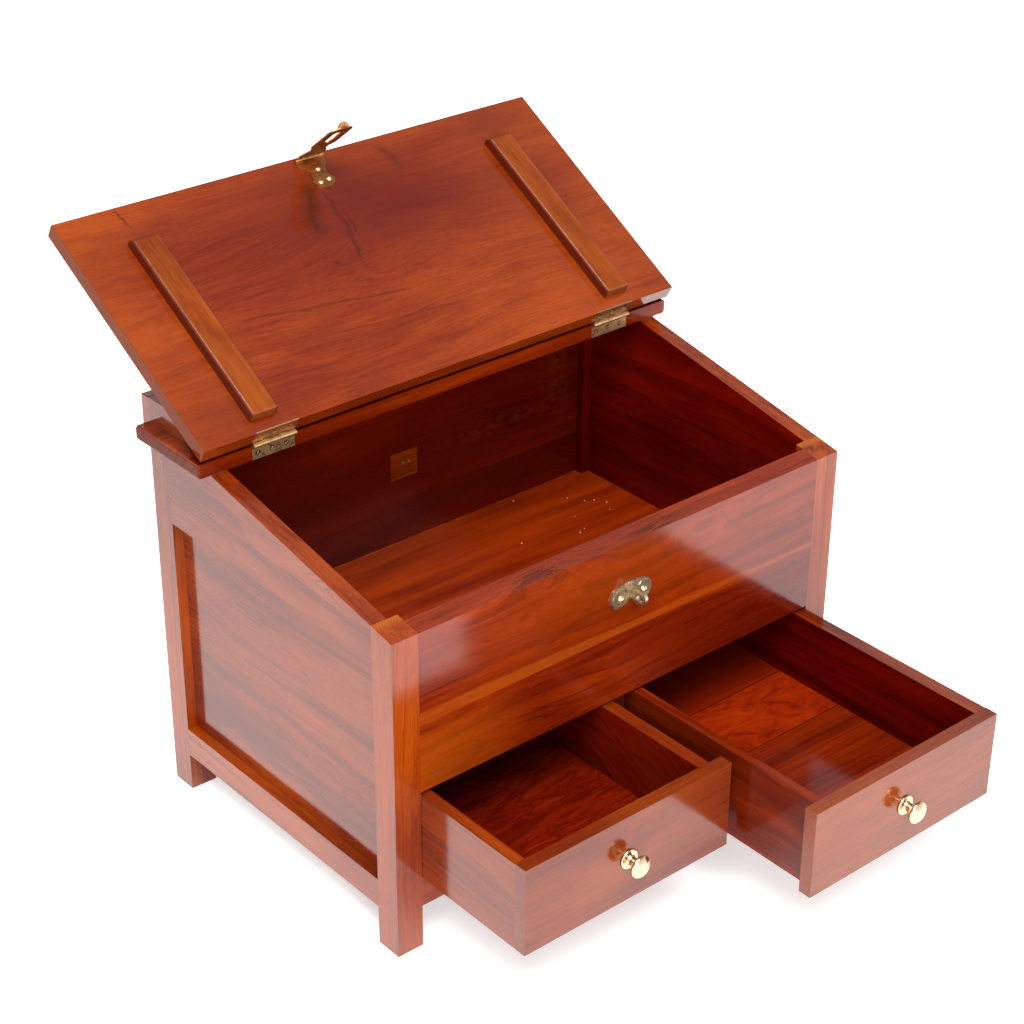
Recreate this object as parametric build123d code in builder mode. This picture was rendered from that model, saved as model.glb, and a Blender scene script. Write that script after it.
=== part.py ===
from build123d import *
import math
import os

os.makedirs("parts", exist_ok=True)

# ---------------------------------------------------------------------------
# Driving dimensions (millimetres). +Z up, -Y is the front, X across.
# Y values below are counted from the front face of the case and moved by
# y_front, so that the origin lies under the centre of the whole object.
# ---------------------------------------------------------------------------
y_front = -112.3          # where the front face of the case stands

case_half = 260.0         # half the width over the posts
case_depth = 347.0
post = 27.0               # square corner posts
rim_z = 318.0             # height of the slope at the front face
slope = 0.1948            # rise of the slope per mm of depth
top_under = 368.5         # underside of the flat top board
top_thick = 14.0
top_y0, top_y1 = 248.6, 346.0
top_x0, top_x1 = -274.0, 273.4

rail_thick = 17.0         # side rails, flush with the posts outside
side_rail_z = 290.0       # lower edge of the upper side board
panel_recess = 10.0
bottom_rail_z0, bottom_rail_z1 = 39.0, 68.0
front_rail_z1 = 72.0
front_thick = 19.0
front_seam_z = 228.0
drawer_open_z = 161.5     # top of the drawer opening
floor_top = 172.0
floor_thick = 10.5
back_thick = 18.0
inner_half = case_half - rail_thick      # 243
post_in = case_half - post               # 233

gallery_half = 259.2
gallery_z1 = 405.6
gallery_thick = 10.5
gallery_back_thick = 11.5
gallery_front_y = 282.5

# lid
phi = 30.45               # angle of the open lid above the horizontal
lid_len = 264.4
lid_thick = 14.7
lid_x0, lid_x1 = -271.5, 275.0
lid_corner = (247.57, 385.16)            # outer face, hinge edge, open (y, z)
pin_y, pin_z = 246.6, 382.8              # hinge pin centre
leaf_thick = 1.2
knuckle_r = 2.5
hinge_pin_r = 1.1
hinge_w = 45.0
hinge_x0 = {"left": -218.0, "right": 177.0}

batten_x = {"left": (-217.5, -190.0), "right": (194.5, 221.5)}
batten_a0, batten_a1 = 13.0, 222.0
batten_h = 11.0

# hasp (a is counted along the lid from its hinge edge)
hasp_xc = 4.2
hasp_pin_a = 260.0
hasp_pin_n = 2.6
hasp_barrel_r = 2.3
hasp_pin_r = 1.0
hasp_plate_thick = 1.2
strap_angle = 112.0       # from the lid's direction, in the rest position
strap_len = 74.5
strap_thick = 1.2
slot_mid = 49.5              # from the pin
slot_length = 25.5

# drawers
drawer_len = 322.0
drawer_z0, drawer_z1 = 72.4, 159.0
drawer_front_thick = 13.0
open_left = 133.3         # how far each drawer stands out at rest
open_right = 231.1
knob_z = 115.5


def y(v):
    """Depth counted from the front face of the case, in model coordinates."""
    return y_front + v


def slope_z(v):
    """Height of the sloping top edge at a depth v."""
    return rim_z + slope * v


def dome_mid(r, h):
    """A point (radius, height) on the spherical dome of base radius r and
    height h, halfway between its rim and its top."""
    big = (r * r + h * h) / (2 * h)
    m = 0.6 * r
    return m, h - big + math.sqrt(big * big - m * m)


made = []


def keep(p, label):
    p.part.label = label
    export_step(p.part, "parts/" + label + ".step")
    made.append(label)


# ---------------------------------------------------------------------------
# Corner posts: the front pair is cut off on the slope, the back pair runs up
# to the flat top board. Their lower ends are the feet.
# ---------------------------------------------------------------------------
for side, sx in (("left", -1), ("right", 1)):
    x0 = -case_half if sx < 0 else post_in
    with BuildPart() as front_post:
        with BuildSketch(Plane.YZ.offset(x0)):
            with BuildLine():
                Polyline((y(0), 0), (y(post), 0), (y(post), slope_z(post)),
                         (y(0), slope_z(0)), (y(0), 0))
            make_face()
        extrude(amount=post)
    keep(front_post, "post_front_" + side)

    with BuildPart() as back_post:
        with BuildSketch(Plane.XY):
            with Locations((x0 + post / 2, y(case_depth - post / 2))):
                Rectangle(post, post)
        extrude(amount=top_under)
    keep(back_post, "post_back_" + side)

# ---------------------------------------------------------------------------
# Sides: an upper board flush with the posts whose top edge follows the slope
# and then the flat underside of the top board, a panel set back between the
# posts, and a lower rail.
# ---------------------------------------------------------------------------
for side, sx in (("left", -1), ("right", 1)):
    xr = -case_half if sx < 0 else inner_half
    with BuildPart() as side_top:
        with BuildSketch(Plane.YZ.offset(xr)):
            with BuildLine():
                Polyline((y(post), side_rail_z),
                         (y(case_depth - post), side_rail_z),
                         (y(case_depth - post), top_under),
                         (y(249.6), top_under),
                         (y(249.6), slope_z(249.6)),
                         (y(post), slope_z(post)),
                         (y(post), side_rail_z))
            make_face()
        extrude(amount=rail_thick)
    keep(side_top, "side_top_rail_" + side)

    xp = -case_half + panel_recess if sx < 0 else inner_half
    with BuildPart() as side_panel:
        with BuildSketch(Plane.XY.offset(bottom_rail_z1)):
            with Locations((xp + (rail_thick - panel_recess) / 2,
                            y(case_depth / 2))):
                Rectangle(rail_thick - panel_recess, case_depth - 2 * post)
        extrude(amount=side_rail_z - bottom_rail_z1)
    keep(side_panel, "side_panel_" + side)

    with BuildPart() as side_bottom:
        with BuildSketch(Plane.XY.offset(bottom_rail_z0)):
            with Locations((xr + rail_thick / 2, y(case_depth / 2))):
                Rectangle(rail_thick, case_depth - 2 * post)
        extrude(amount=bottom_rail_z1 - bottom_rail_z0)
    keep(side_bottom, "side_bottom_rail_" + side)

# ---------------------------------------------------------------------------
# Front: two boards above the drawer opening and a rail below it.
# ---------------------------------------------------------------------------
staple_x = 2.6
staple_z = 264.0
staple_screw_x = (-10.6, 15.8)
with BuildPart() as front_upper:
    with BuildSketch(Plane.YZ.offset(-post_in)):
        with BuildLine():
            Polyline((y(0), front_seam_z), (y(front_thick), front_seam_z),
                     (y(front_thick), slope_z(front_thick)),
                     (y(0), slope_z(0)), (y(0), front_seam_z))
        make_face()
    extrude(amount=2 * post_in)
    # pilot holes for the two staple screws
    with Locations(Plane(origin=(0, y(0), staple_z), x_dir=(1, 0, 0),
                         z_dir=(0, -1, 0))):
        with Locations((staple_screw_x[0], 0), (staple_screw_x[1], 0)):
            Hole(radius=1.4, depth=9.0)
keep(front_upper, "front_board_upper")

with BuildPart() as front_lower:
    with BuildSketch(Plane.XY.offset(drawer_open_z)):
        with Locations((0, y(front_thick / 2))):
            Rectangle(2 * post_in, front_thick)
    extrude(amount=front_seam_z - drawer_open_z)
keep(front_lower, "front_board_lower")

with BuildPart() as front_bottom:
    with BuildSketch(Plane.XY.offset(bottom_rail_z0)):
        with Locations((0, y(3.4 + 9.0))):
            Rectangle(2 * post_in, 18.0)
    extrude(amount=front_rail_z1 - bottom_rail_z0)
keep(front_bottom, "front_bottom_rail")

# ---------------------------------------------------------------------------
# Back wall: two wide boards and a lower rail, between the back posts.
# ---------------------------------------------------------------------------
back_y = case_depth - back_thick / 2
patch_x0, patch_x1 = -8.3, 24.7
patch_z0, patch_z1 = 241.2, 270.0
patch_deep = 4.0
with BuildPart() as back_upper:
    with BuildSketch(Plane.XY.offset(218.0)):
        with Locations((0, y(back_y))):
            Rectangle(2 * post_in, back_thick)
    extrude(amount=top_under - 218.0)
    # shallow pocket that holds the let-in patch
    with BuildSketch(Plane(origin=(0, y(case_depth - back_thick), 0),
                           x_dir=(1, 0, 0), z_dir=(0, -1, 0))):
        with Locations(((patch_x0 + patch_x1) / 2, (patch_z0 + patch_z1) / 2)):
            Rectangle(patch_x1 - patch_x0, patch_z1 - patch_z0)
    extrude(amount=-patch_deep, mode=Mode.SUBTRACT)
keep(back_upper, "back_board_upper")

nail_pts = ((7.0, 257.3), (14.4, 257.0))
with BuildPart() as patch:
    with BuildSketch(Plane(origin=(0, y(case_depth - back_thick), 0),
                           x_dir=(1, 0, 0), z_dir=(0, -1, 0))):
        with Locations(((patch_x0 + patch_x1) / 2, (patch_z0 + patch_z1) / 2)):
            Rectangle(patch_x1 - patch_x0 - 0.3, patch_z1 - patch_z0 - 0.3)
        with Locations(*nail_pts):
            Circle(1.1, mode=Mode.SUBTRACT)
    extrude(amount=-patch_deep)
keep(patch, "back_wall_patch")

with BuildPart() as patch_nails:
    with BuildSketch(Plane(origin=(0, y(case_depth - back_thick), 0),
                           x_dir=(1, 0, 0), z_dir=(0, -1, 0))):
        with Locations(*nail_pts):
            Circle(1.0)
    extrude(amount=-patch_deep)
    with BuildSketch(Plane(origin=(0, y(case_depth - back_thick), 0),
                           x_dir=(1, 0, 0), z_dir=(0, -1, 0))):
        with Locations(*nail_pts):
            Circle(1.7)
    extrude(amount=0.5)
keep(patch_nails, "patch_nails")

with BuildPart() as back_lower:
    with BuildSketch(Plane.XY.offset(bottom_rail_z1)):
        with Locations((0, y(back_y))):
            Rectangle(2 * post_in, back_thick)
    extrude(amount=218.0 - bottom_rail_z1)
keep(back_lower, "back_board_lower")

with BuildPart() as back_bottom:
    with BuildSketch(Plane.XY.offset(bottom_rail_z0)):
        with Locations((0, y(back_y))):
            Rectangle(2 * post_in, back_thick)
    extrude(amount=bottom_rail_z1 - bottom_rail_z0)
keep(back_bottom, "back_bottom_rail")

# ---------------------------------------------------------------------------
# Compartment floor, notched round the inner corners of the posts, and what
# is below it: the upright divider and the drawer runners.
# ---------------------------------------------------------------------------
with BuildPart() as comp_floor:
    with BuildSketch(Plane.XY.offset(floor_top - floor_thick)):
        with BuildLine():
            Polyline((-post_in, y(front_thick)), (post_in, y(front_thick)),
                     (post_in, y(post)), (inner_half, y(post)),
                     (inner_half, y(case_depth - post)),
                     (post_in, y(case_depth - post)),
                     (post_in, y(case_depth - back_thick)),
                     (-post_in, y(case_depth - back_thick)),
                     (-post_in, y(case_depth - post)),
                     (-inner_half, y(case_depth - post)),
                     (-inner_half, y(post)), (-post_in, y(post)),
                     (-post_in, y(front_thick)))
        make_face()
    extrude(amount=floor_thick)
keep(comp_floor, "compartment_floor")

divider_half = 10.8
with BuildPart() as divider:
    with BuildSketch(Plane.XY.offset(front_rail_z1)):
        with Locations((0, y((13.6 + 329.0) / 2))):
            Rectangle(2 * divider_half, 329.0 - 13.6)
    extrude(amount=floor_top - floor_thick - front_rail_z1)
keep(divider, "drawer_divider")

runner_y0, runner_y1 = 21.6, 329.0
for name, x0, x1 in (("left", -inner_half, -inner_half + 24.0),
                     ("right", inner_half - 24.0, inner_half),
                     ("centre", -26.0, 26.0)):
    ya = post if name != "centre" else runner_y0
    yb = case_depth - post if name != "centre" else runner_y1
    with BuildPart() as runner:
        with BuildSketch(Plane.XY.offset(front_rail_z1 - 14.0)):
            with Locations(((x0 + x1) / 2, y((ya + yb) / 2))):
                Rectangle(x1 - x0, yb - ya)
        extrude(amount=14.0)
    keep(runner, "drawer_runner_" + name)

# ---------------------------------------------------------------------------
# Top board with its let-in hinge places, and the gallery behind the lid.
# ---------------------------------------------------------------------------
hinge_screw_dx = (6.0, 21.0, 36.0)
case_screw_z = 374.3
with BuildPart() as top_board:
    with BuildSketch(Plane.XY.offset(top_under)):
        with Locations(((top_x0 + top_x1) / 2, y((top_y0 + top_y1) / 2))):
            Rectangle(top_x1 - top_x0, top_y1 - top_y0)
    extrude(amount=top_thick)
    # the two ends are rounded over along their long lower and upper edges
    ends = (top_board.faces().filter_by(Axis.X).edges()
            .filter_by(Axis.Y))
    fillet(ends, 3.0)
    for side in ("left", "right"):
        hx = hinge_x0[side]
        with BuildSketch(Plane.YZ.offset(hx - 0.3)):
            with Locations((y(top_y0 + leaf_thick / 2), top_under + 6.9)):
                Rectangle(leaf_thick + 0.02, 13.8 + 8)
            with Locations((y(pin_y), pin_z)):
                Circle(knuckle_r + 0.35)
        extrude(amount=hinge_w + 0.6, mode=Mode.SUBTRACT)
        with Locations(Plane(origin=(hx, y(top_y0), case_screw_z),
                             x_dir=(1, 0, 0), z_dir=(0, -1, 0))):
            with Locations(*[(dx, 0) for dx in hinge_screw_dx]):
                Hole(radius=1.4, depth=10.0)
keep(top_board, "top_board")

with BuildPart() as gallery_back:
    with BuildSketch(Plane.XY.offset(top_under + 0.5)):
        with Locations((0, y(346.0 + gallery_back_thick / 2))):
            Rectangle(2 * gallery_half, gallery_back_thick)
    extrude(amount=gallery_z1 - top_under - 0.5)
    fillet(gallery_back.faces().sort_by(Axis.Z)[-1].edges(), 1.2)
keep(gallery_back, "gallery_back")

for side, sx in (("left", -1), ("right", 1)):
    xc = sx * (gallery_half - gallery_thick / 2)
    with BuildPart() as gallery_side:
        with BuildSketch(Plane.XY.offset(top_under + top_thick)):
            with Locations((xc, y((gallery_front_y + 346.0) / 2))):
                Rectangle(gallery_thick, 346.0 - gallery_front_y)
        extrude(amount=gallery_z1 - top_under - top_thick)
    keep(gallery_side, "gallery_side_" + side)

# ---------------------------------------------------------------------------
# Hinges. Each case leaf is let into the front edge of the top board and
# carries the outer and middle knuckles, each lid leaf is let into the edge of
# the lid and carries the two knuckles between them. One pin runs through.
# ---------------------------------------------------------------------------
ca, sa = math.cos(math.radians(phi)), math.sin(math.radians(phi))
lid_plane = Plane(origin=(0, y(lid_corner[0]), lid_corner[1]),
                  x_dir=(1, 0, 0), z_dir=(0, -sa, ca))


def on_lid(a, n):
    """(y, z) of a point a along the lid and n above its outer face."""
    return (y(lid_corner[0] + a * ca - n * sa), lid_corner[1] + a * sa + n * ca)


knuckle = hinge_w / 5
for side in ("left", "right"):
    hx = hinge_x0[side]
    with BuildPart() as case_leaf:
        with BuildSketch(Plane.YZ.offset(hx)):
            with Locations((y(top_y0 + leaf_thick / 2), top_under + 6.6)):
                Rectangle(leaf_thick, 13.2)
        extrude(amount=hinge_w)
        for k in (0, 2, 4):
            with BuildSketch(Plane.YZ.offset(hx + k * knuckle + 0.08)):
                with Locations((y(pin_y), pin_z)):
                    Circle(knuckle_r)
                with Locations((y(top_y0 - 0.2), pin_z - 1.6)):
                    Rectangle(2 * leaf_thick + 0.4, 3.0)
            extrude(amount=knuckle - 0.16)
        # room for the lid leaf's knuckles
        for k in (1, 3):
            with BuildSketch(Plane.YZ.offset(hx + k * knuckle - 0.08)):
                with Locations((y(pin_y), pin_z)):
                    Circle(knuckle_r + 0.3)
            extrude(amount=knuckle + 0.16, mode=Mode.SUBTRACT)
        with BuildSketch(Plane.YZ.offset(hx)):
            with Locations((y(pin_y), pin_z)):
                Circle(hinge_pin_r + 0.03)
        extrude(amount=hinge_w, mode=Mode.SUBTRACT)
        with Locations(Plane(origin=(hx, y(top_y0), case_screw_z),
                             x_dir=(1, 0, 0), z_dir=(0, -1, 0))):
            with Locations(*[(dx, 0) for dx in hinge_screw_dx]):
                CounterSinkHole(radius=1.45, counter_sink_radius=2.75,
                                depth=4.0, counter_sink_angle=90)
    keep(case_leaf, "hinge_case_leaf_" + side)

    with BuildPart() as lid_leaf:
        with BuildSketch(lid_plane.offset(0)):
            with Locations((hx + hinge_w / 2, leaf_thick / 2)):
                Rectangle(hinge_w, leaf_thick)
        extrude(amount=lid_thick)
        py, pz = y(pin_y), pin_z
        for k in (1, 3):
            with BuildSketch(Plane.YZ.offset(hx + k * knuckle + 0.08)):
                with Locations((py, pz)):
                    Circle(knuckle_r)
                with BuildLine():
                    Polyline((py, pz), on_lid(0.0, 3.6), on_lid(leaf_thick, 3.6),
                             on_lid(leaf_thick, 0.3), (py + 0.9, pz + 0.6),
                             (py, pz))
                make_face()
            extrude(amount=knuckle - 0.16)
        for k in (0, 2, 4):
            with BuildSketch(Plane.YZ.offset(hx + k * knuckle - 0.08)):
                with Locations((py, pz)):
                    Circle(knuckle_r + 0.3)
            extrude(amount=knuckle + 0.16, mode=Mode.SUBTRACT)
        with BuildSketch(Plane.YZ.offset(hx)):
            with Locations((py, pz)):
                Circle(hinge_pin_r + 0.03)
        extrude(amount=hinge_w, mode=Mode.SUBTRACT)
        edge_plane = Plane(origin=(hx, *on_lid(0, 0)), x_dir=(1, 0, 0),
                           z_dir=(0, -ca, -sa))
        with Locations(edge_plane):
            with Locations(*[(dx, 8.6) for dx in hinge_screw_dx]):
                CounterSinkHole(radius=1.45, counter_sink_radius=2.75,
                                depth=4.0, counter_sink_angle=90)
    keep(lid_leaf, "hinge_lid_leaf_" + side)

    with BuildPart() as hinge_pin:
        with BuildSketch(Plane.YZ.offset(hx)):
            with Locations((y(pin_y), pin_z)):
                Circle(hinge_pin_r)
        extrude(amount=hinge_w)
    keep(hinge_pin, "hinge_pin_" + side)


def screw_profile(head_r, head_h, shank_r, length):
    """Half section of a countersunk screw, head face at height 0."""
    return [(0, 0), (head_r, 0), (shank_r, -head_h), (shank_r, -length),
            (0, -length), (0, 0)]


with BuildPart() as case_screws:
    for side in ("left", "right"):
        for dx in hinge_screw_dx:
            pl = Plane(origin=(hinge_x0[side] + dx, y(top_y0), case_screw_z),
                       x_dir=(1, 0, 0), z_dir=(0, -1, 0))
            sec = Plane(origin=pl.origin, x_dir=(1, 0, 0), z_dir=(0, 0, 1))
            with BuildSketch(sec):
                with BuildLine():
                    Polyline(*[(r, -h) for r, h in
                               screw_profile(2.65, 1.3, 1.3, 9.0)])
                make_face()
            revolve(axis=Axis(pl.origin, (0, 1, 0)), revolution_arc=360)
            with BuildSketch(pl):
                Rectangle(4.4, 0.6, rotation=35 if dx > 10 else 80)
            extrude(amount=-0.5, mode=Mode.SUBTRACT)
keep(case_screws, "hinge_case_screws")

# ---------------------------------------------------------------------------
# Lid: one wide board, two battens, hinge places and hasp screw holes.
# ---------------------------------------------------------------------------
hasp_screws_at = ((5.9, 245.4), (-0.4, 230.2), (9.8, 231.6))
lid_inner = lid_plane.offset(lid_thick)
with BuildPart() as lid_board:
    with BuildSketch(lid_plane):
        with Locations(((lid_x0 + lid_x1) / 2, lid_len / 2)):
            Rectangle(lid_x1 - lid_x0, lid_len)
    extrude(amount=lid_thick)
    for side in ("left", "right"):
        hx = hinge_x0[side]
        with BuildSketch(Plane.YZ.offset(hx - 0.3)):
            with BuildLine():
                Polyline(on_lid(-1, -1), on_lid(leaf_thick + 0.01, -1),
                         on_lid(leaf_thick + 0.01, lid_thick + 1),
                         on_lid(-1, lid_thick + 1), on_lid(-1, -1))
            make_face()
            with Locations((y(pin_y), pin_z)):
                Circle(knuckle_r + 0.35)
        extrude(amount=hinge_w + 0.6, mode=Mode.SUBTRACT)
        edge_plane = Plane(origin=(hx, *on_lid(0, 0)), x_dir=(1, 0, 0),
                           z_dir=(0, -ca, -sa))
        with Locations(edge_plane):
            with Locations(*[(dx, 8.6) for dx in hinge_screw_dx]):
                Hole(radius=1.4, depth=10.0)
    with Locations(lid_inner):
        with Locations(*hasp_screws_at):
            Hole(radius=1.2, depth=8.0)
keep(lid_board, "lid_board")

with BuildPart() as lid_screws:
    for side in ("left", "right"):
        hx = hinge_x0[side]
        edge_plane = Plane(origin=(hx, *on_lid(0, 0)), x_dir=(1, 0, 0),
                           z_dir=(0, -ca, -sa))
        for dx in hinge_screw_dx:
            org = edge_plane.from_local_coords((dx, 8.6, 0))
            sec = Plane(origin=org, x_dir=(1, 0, 0), z_dir=edge_plane.y_dir)
            # local y of this section runs along -z_dir of the edge plane or
            # along it, so the sign is taken from the planes themselves
            sgn = 1.0 if sec.y_dir.dot(edge_plane.z_dir) > 0 else -1.0
            with BuildSketch(sec):
                with BuildLine():
                    Polyline(*[(r, sgn * h) for r, h in
                               screw_profile(2.65, 1.3, 1.3, 9.0)])
                make_face()
            revolve(axis=Axis(org, edge_plane.z_dir), revolution_arc=360)
            spl = Plane(origin=org, x_dir=(1, 0, 0), z_dir=edge_plane.z_dir)
            with BuildSketch(spl):
                Rectangle(4.4, 0.6, rotation=20 if dx > 10 else 65)
            extrude(amount=-0.5, mode=Mode.SUBTRACT)
keep(lid_screws, "hinge_lid_screws")

for side in ("left", "right"):
    bx0, bx1 = batten_x[side]
    with BuildPart() as batten:
        # profile along the lid: square at the hinge end, tapered off at the
        # free end
        with BuildSketch(Plane.YZ.offset(bx0)):
            with BuildLine():
                Polyline(on_lid(batten_a0, lid_thick),
                         on_lid(batten_a1, lid_thick),
                         on_lid(batten_a1, lid_thick + 5.0),
                         on_lid(batten_a1 - 5.0, lid_thick + batten_h),
                         on_lid(batten_a0 + 1.5, lid_thick + batten_h),
                         on_lid(batten_a0, lid_thick + batten_h - 1.5),
                         on_lid(batten_a0, lid_thick))
            make_face()
        extrude(amount=bx1 - bx0)
        top_face = batten.faces().sort_by(
            lambda f: f.normal_at().dot(Vector(0, -sa, ca)) * f.area)[-1]
        long_edges = top_face.edges().sort_by(SortBy.LENGTH)[-2:]
        fillet(long_edges, 3.0)
    keep(batten, "lid_batten_" + side)

# ---------------------------------------------------------------------------
# Hasp: a waisted plate on the lid's inner face with three round-head screws,
# a barrel past the lid's edge, a pin, and the slotted strap that swings on it.
# ---------------------------------------------------------------------------
pl_n = lid_thick
with BuildPart() as hasp_plate:
    with BuildSketch(lid_inner):
        with BuildLine():
            l1 = Polyline((hasp_xc - 16.2, 259.0),
                          (hasp_xc - 16.2, 252.0), (hasp_xc - 10.6, 245.5))
            l2 = ThreePointArc(l1 @ 1, (hasp_xc - 9.2, 238.5),
                               (hasp_xc - 12.4, 231.5))
            l3 = ThreePointArc(l2 @ 1, (hasp_xc, 222.2), (hasp_xc + 12.4, 231.5))
            l4 = ThreePointArc(l3 @ 1, (hasp_xc + 9.2, 238.5),
                               (hasp_xc + 10.6, 245.5))
            l5 = Polyline(l4 @ 1, (hasp_xc + 16.2, 252.0),
                          (hasp_xc + 16.2, 259.0), l1 @ 0)
        make_face()
        with Locations(*hasp_screws_at):
            Circle(1.3, mode=Mode.SUBTRACT)
    extrude(amount=hasp_plate_thick)
    # two outer knuckles, joined to the plate by a short tongue each
    hp = on_lid(hasp_pin_a, lid_thick + hasp_pin_n)
    for x0 in (hasp_xc - 16.2, hasp_xc + 16.2 - 7.0):
        with BuildSketch(Plane.YZ.offset(x0)):
            with Locations(hp):
                Circle(hasp_barrel_r)
            with BuildLine():
                Polyline(on_lid(257.0, pl_n), on_lid(257.0, pl_n + 1.2),
                         on_lid(hasp_pin_a, pl_n + 2.4),
                         on_lid(hasp_pin_a, pl_n + 0.3), on_lid(257.0, pl_n))
            make_face()
        extrude(amount=7.0)
    with BuildSketch(Plane.YZ.offset(hasp_xc - 17)):
        with Locations(hp):
            Circle(hasp_pin_r + 0.03)
    extrude(amount=34, mode=Mode.SUBTRACT)
    # clearance for the strap's own knuckle
    with BuildSketch(Plane.YZ.offset(hasp_xc - 9.2)):
        with Locations(hp):
            Circle(hasp_barrel_r + 0.35)
    extrude(amount=18.4, mode=Mode.SUBTRACT)
keep(hasp_plate, "hasp_plate")

with BuildPart() as hasp_screws:
    for sx_, sa_ in hasp_screws_at:
        cy, cz = on_lid(sa_, lid_thick + hasp_plate_thick)
        nd = Vector(0, -sa, ca)
        sec = Plane(origin=(sx_, cy, cz), x_dir=(1, 0, 0), z_dir=(0, ca, sa))
        sgn = 1.0 if sec.y_dir.dot(nd) > 0 else -1.0
        with BuildSketch(sec):
            with BuildLine():
                c1 = Line((0, sgn * 1.7), (0, sgn * -7.5))
                c2 = Polyline(c1 @ 1, (1.1, sgn * -7.5), (1.1, 0),
                              (2.6, 0))
                dm = dome_mid(2.6, 1.7)
                c3 = ThreePointArc(c2 @ 1, (dm[0], sgn * dm[1]), c1 @ 0)
            make_face()
        revolve(axis=Axis((sx_, cy, cz), (0, -sa, ca)), revolution_arc=360)
        with BuildSketch(Plane(origin=(sx_, *on_lid(sa_, lid_thick
                                                    + hasp_plate_thick + 1.1)),
                               x_dir=(1, 0, 0), z_dir=(0, -sa, ca))):
            Rectangle(6, 0.6, rotation=30 + 25 * sx_)
        extrude(amount=1.0, mode=Mode.SUBTRACT)
keep(hasp_screws, "hasp_screws")

with BuildPart() as hasp_pin:
    with BuildSketch(Plane.YZ.offset(hasp_xc - 16.2)):
        with Locations(hp):
            Circle(hasp_pin_r)
    extrude(amount=32.4)
keep(hasp_pin, "hasp_pin")

# strap: in its own plane, s runs from the pin towards the tip
ang = math.radians(phi + strap_angle)
sd = (math.cos(ang), math.sin(ang))            # (y, z) along the strap
sn = (-sd[1], sd[0])                           # (y, z) out of its front face
strap_plane = Plane(origin=(hasp_xc, hp[0], hp[1]), x_dir=(1, 0, 0),
                    z_dir=(0, -sn[0], -sn[1]))


def on_strap(s, t):
    return (hp[0] + s * sd[0] + t * sn[0], hp[1] + s * sd[1] + t * sn[1])


lift = hasp_barrel_r - strap_thick             # strap lies level with the back
with BuildPart() as strap:
    # flat outline: wide at the barrel, a waist, a long body, a rounded tip
    flip = 1.0 if strap_plane.y_dir.dot(Vector(0, sd[0], sd[1])) > 0 else -1.0
    with BuildSketch(strap_plane):
        with BuildLine():
            a1 = Polyline((-8.8, flip * 0.0), (-8.8, flip * 3.2),
                          (-15.6, flip * 3.2), (-15.6, flip * 9.0),
                          (-9.6, flip * 20.0), (-9.6, flip * 25.0),
                          (-14.6, flip * 31.0), (-14.6, flip * 66.0))
            a2 = ThreePointArc(a1 @ 1, (0, flip * strap_len),
                               (14.6, flip * 66.0))
            a3 = Polyline(a2 @ 1, (14.6, flip * 31.0), (9.6, flip * 25.0),
                          (9.6, flip * 20.0), (15.6, flip * 9.0),
                          (15.6, flip * 3.2), (8.8, flip * 3.2),
                          (8.8, flip * 0.0), a1 @ 0)
        make_face()
        with Locations((0, flip * slot_mid)):
            SlotOverall(slot_length, 8.4, rotation=90, mode=Mode.SUBTRACT)
    extrude(amount=strap_thick)
    # curled lip at the tip
    lip = (0.62 * sd[0] - 0.785 * sn[0], 0.62 * sd[1] - 0.785 * sn[1])
    with BuildSketch(Plane(origin=(hasp_xc, *on_strap(strap_len - 1.6, 0)),
                           x_dir=(1, 0, 0), z_dir=(0, -lip[1], lip[0]))):
        with BuildLine():
            e1 = Polyline((6.0, 2.2), (7.6, 0), (7.6, -0.2), (-7.6, -0.2),
                          (-7.6, 0), (-6.0, 2.2))
            ThreePointArc(e1 @ 1, (0, 6.4), e1 @ 0)
        make_face()
    extrude(amount=-strap_thick)
    # knuckle
    with BuildSketch(Plane.YZ.offset(hasp_xc - 8.9)):
        with Locations(hp):
            Circle(hasp_barrel_r)
    extrude(amount=17.8)
    with BuildSketch(Plane.YZ.offset(hasp_xc - 10)):
        with Locations(hp):
            Circle(hasp_pin_r + 0.04)
    extrude(amount=20, mode=Mode.SUBTRACT)
keep(strap, "hasp_strap")

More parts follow.
